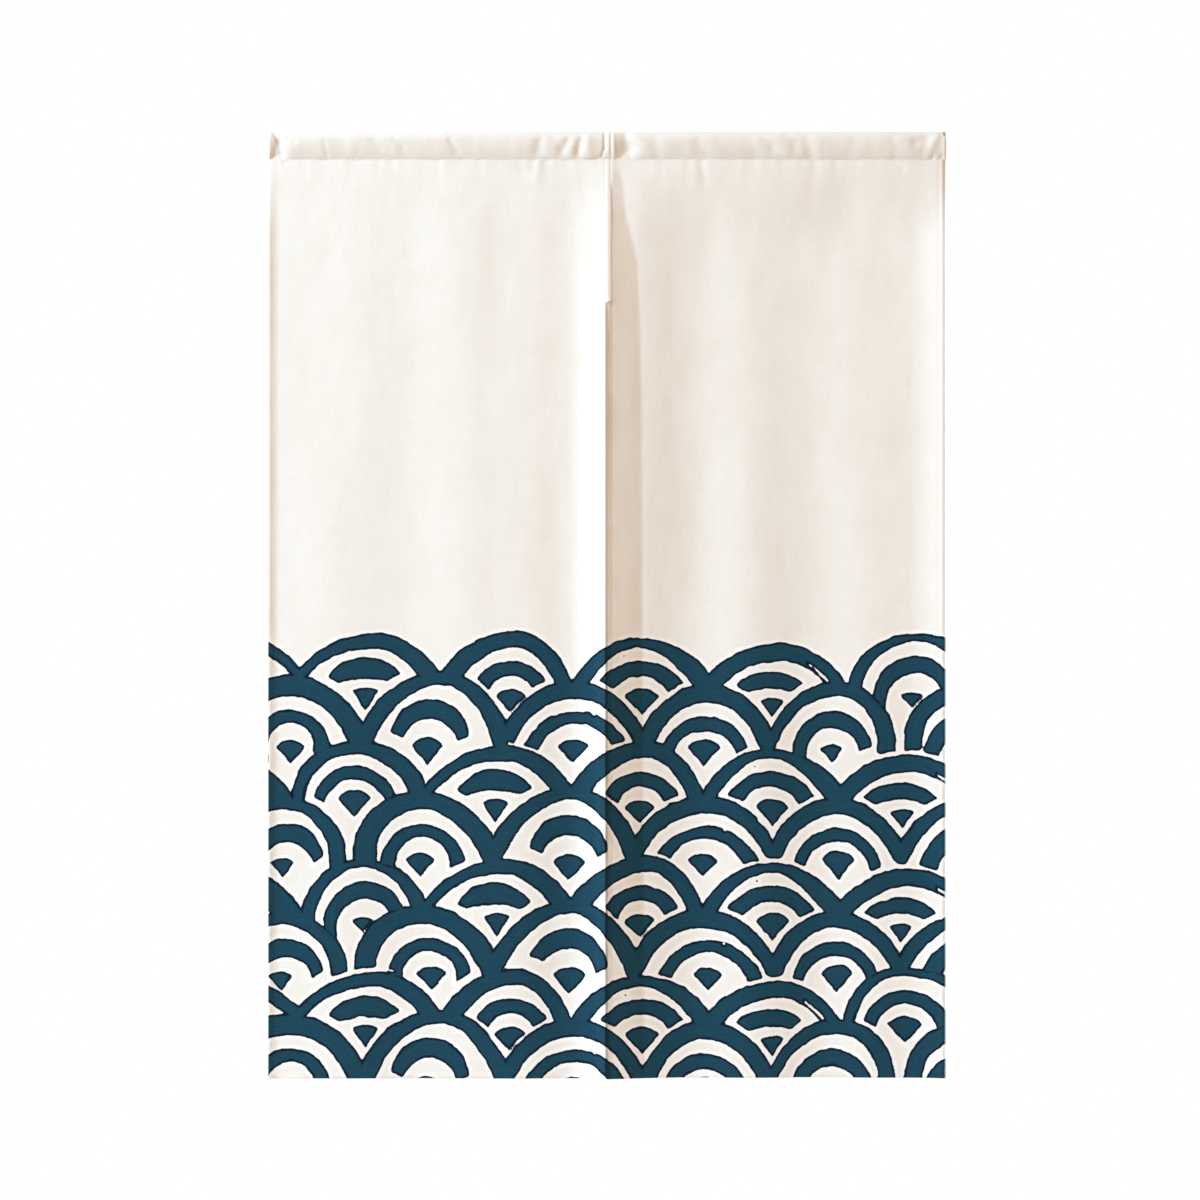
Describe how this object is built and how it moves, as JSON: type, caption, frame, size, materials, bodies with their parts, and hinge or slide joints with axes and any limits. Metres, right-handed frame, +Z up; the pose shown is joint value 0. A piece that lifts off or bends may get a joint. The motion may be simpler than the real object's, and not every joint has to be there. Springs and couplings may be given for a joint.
{
  "type": "noren curtain",
  "caption": "Short doorway curtain: side-by-side hung cloth panels, each with an open rod sleeve, seamed together at the top and slit below, with a wave pattern at the foot.",
  "frame": {"origin": "middle of the curtain's top edge, in the middle of the rod sleeves' depth", "axes": "+Z up along the drop, +X to the right across the width, +Y to the back; the front of the cloth faces -Y"},
  "size_m": [0.855, 0.0216, 1.195],
  "materials": {
    "panel_cloth": "matte plain weave, natural, with a dark blue wave pattern on the lower part",
    "sleeve_cloth": "matte plain weave, natural"
  },
  "bodies": {
    "root": {"panel_left": "panel_cloth", "panel_right": "panel_cloth", "sleeve_left": "sleeve_cloth", "sleeve_right": "sleeve_cloth"}
  },
  "joints": []
}
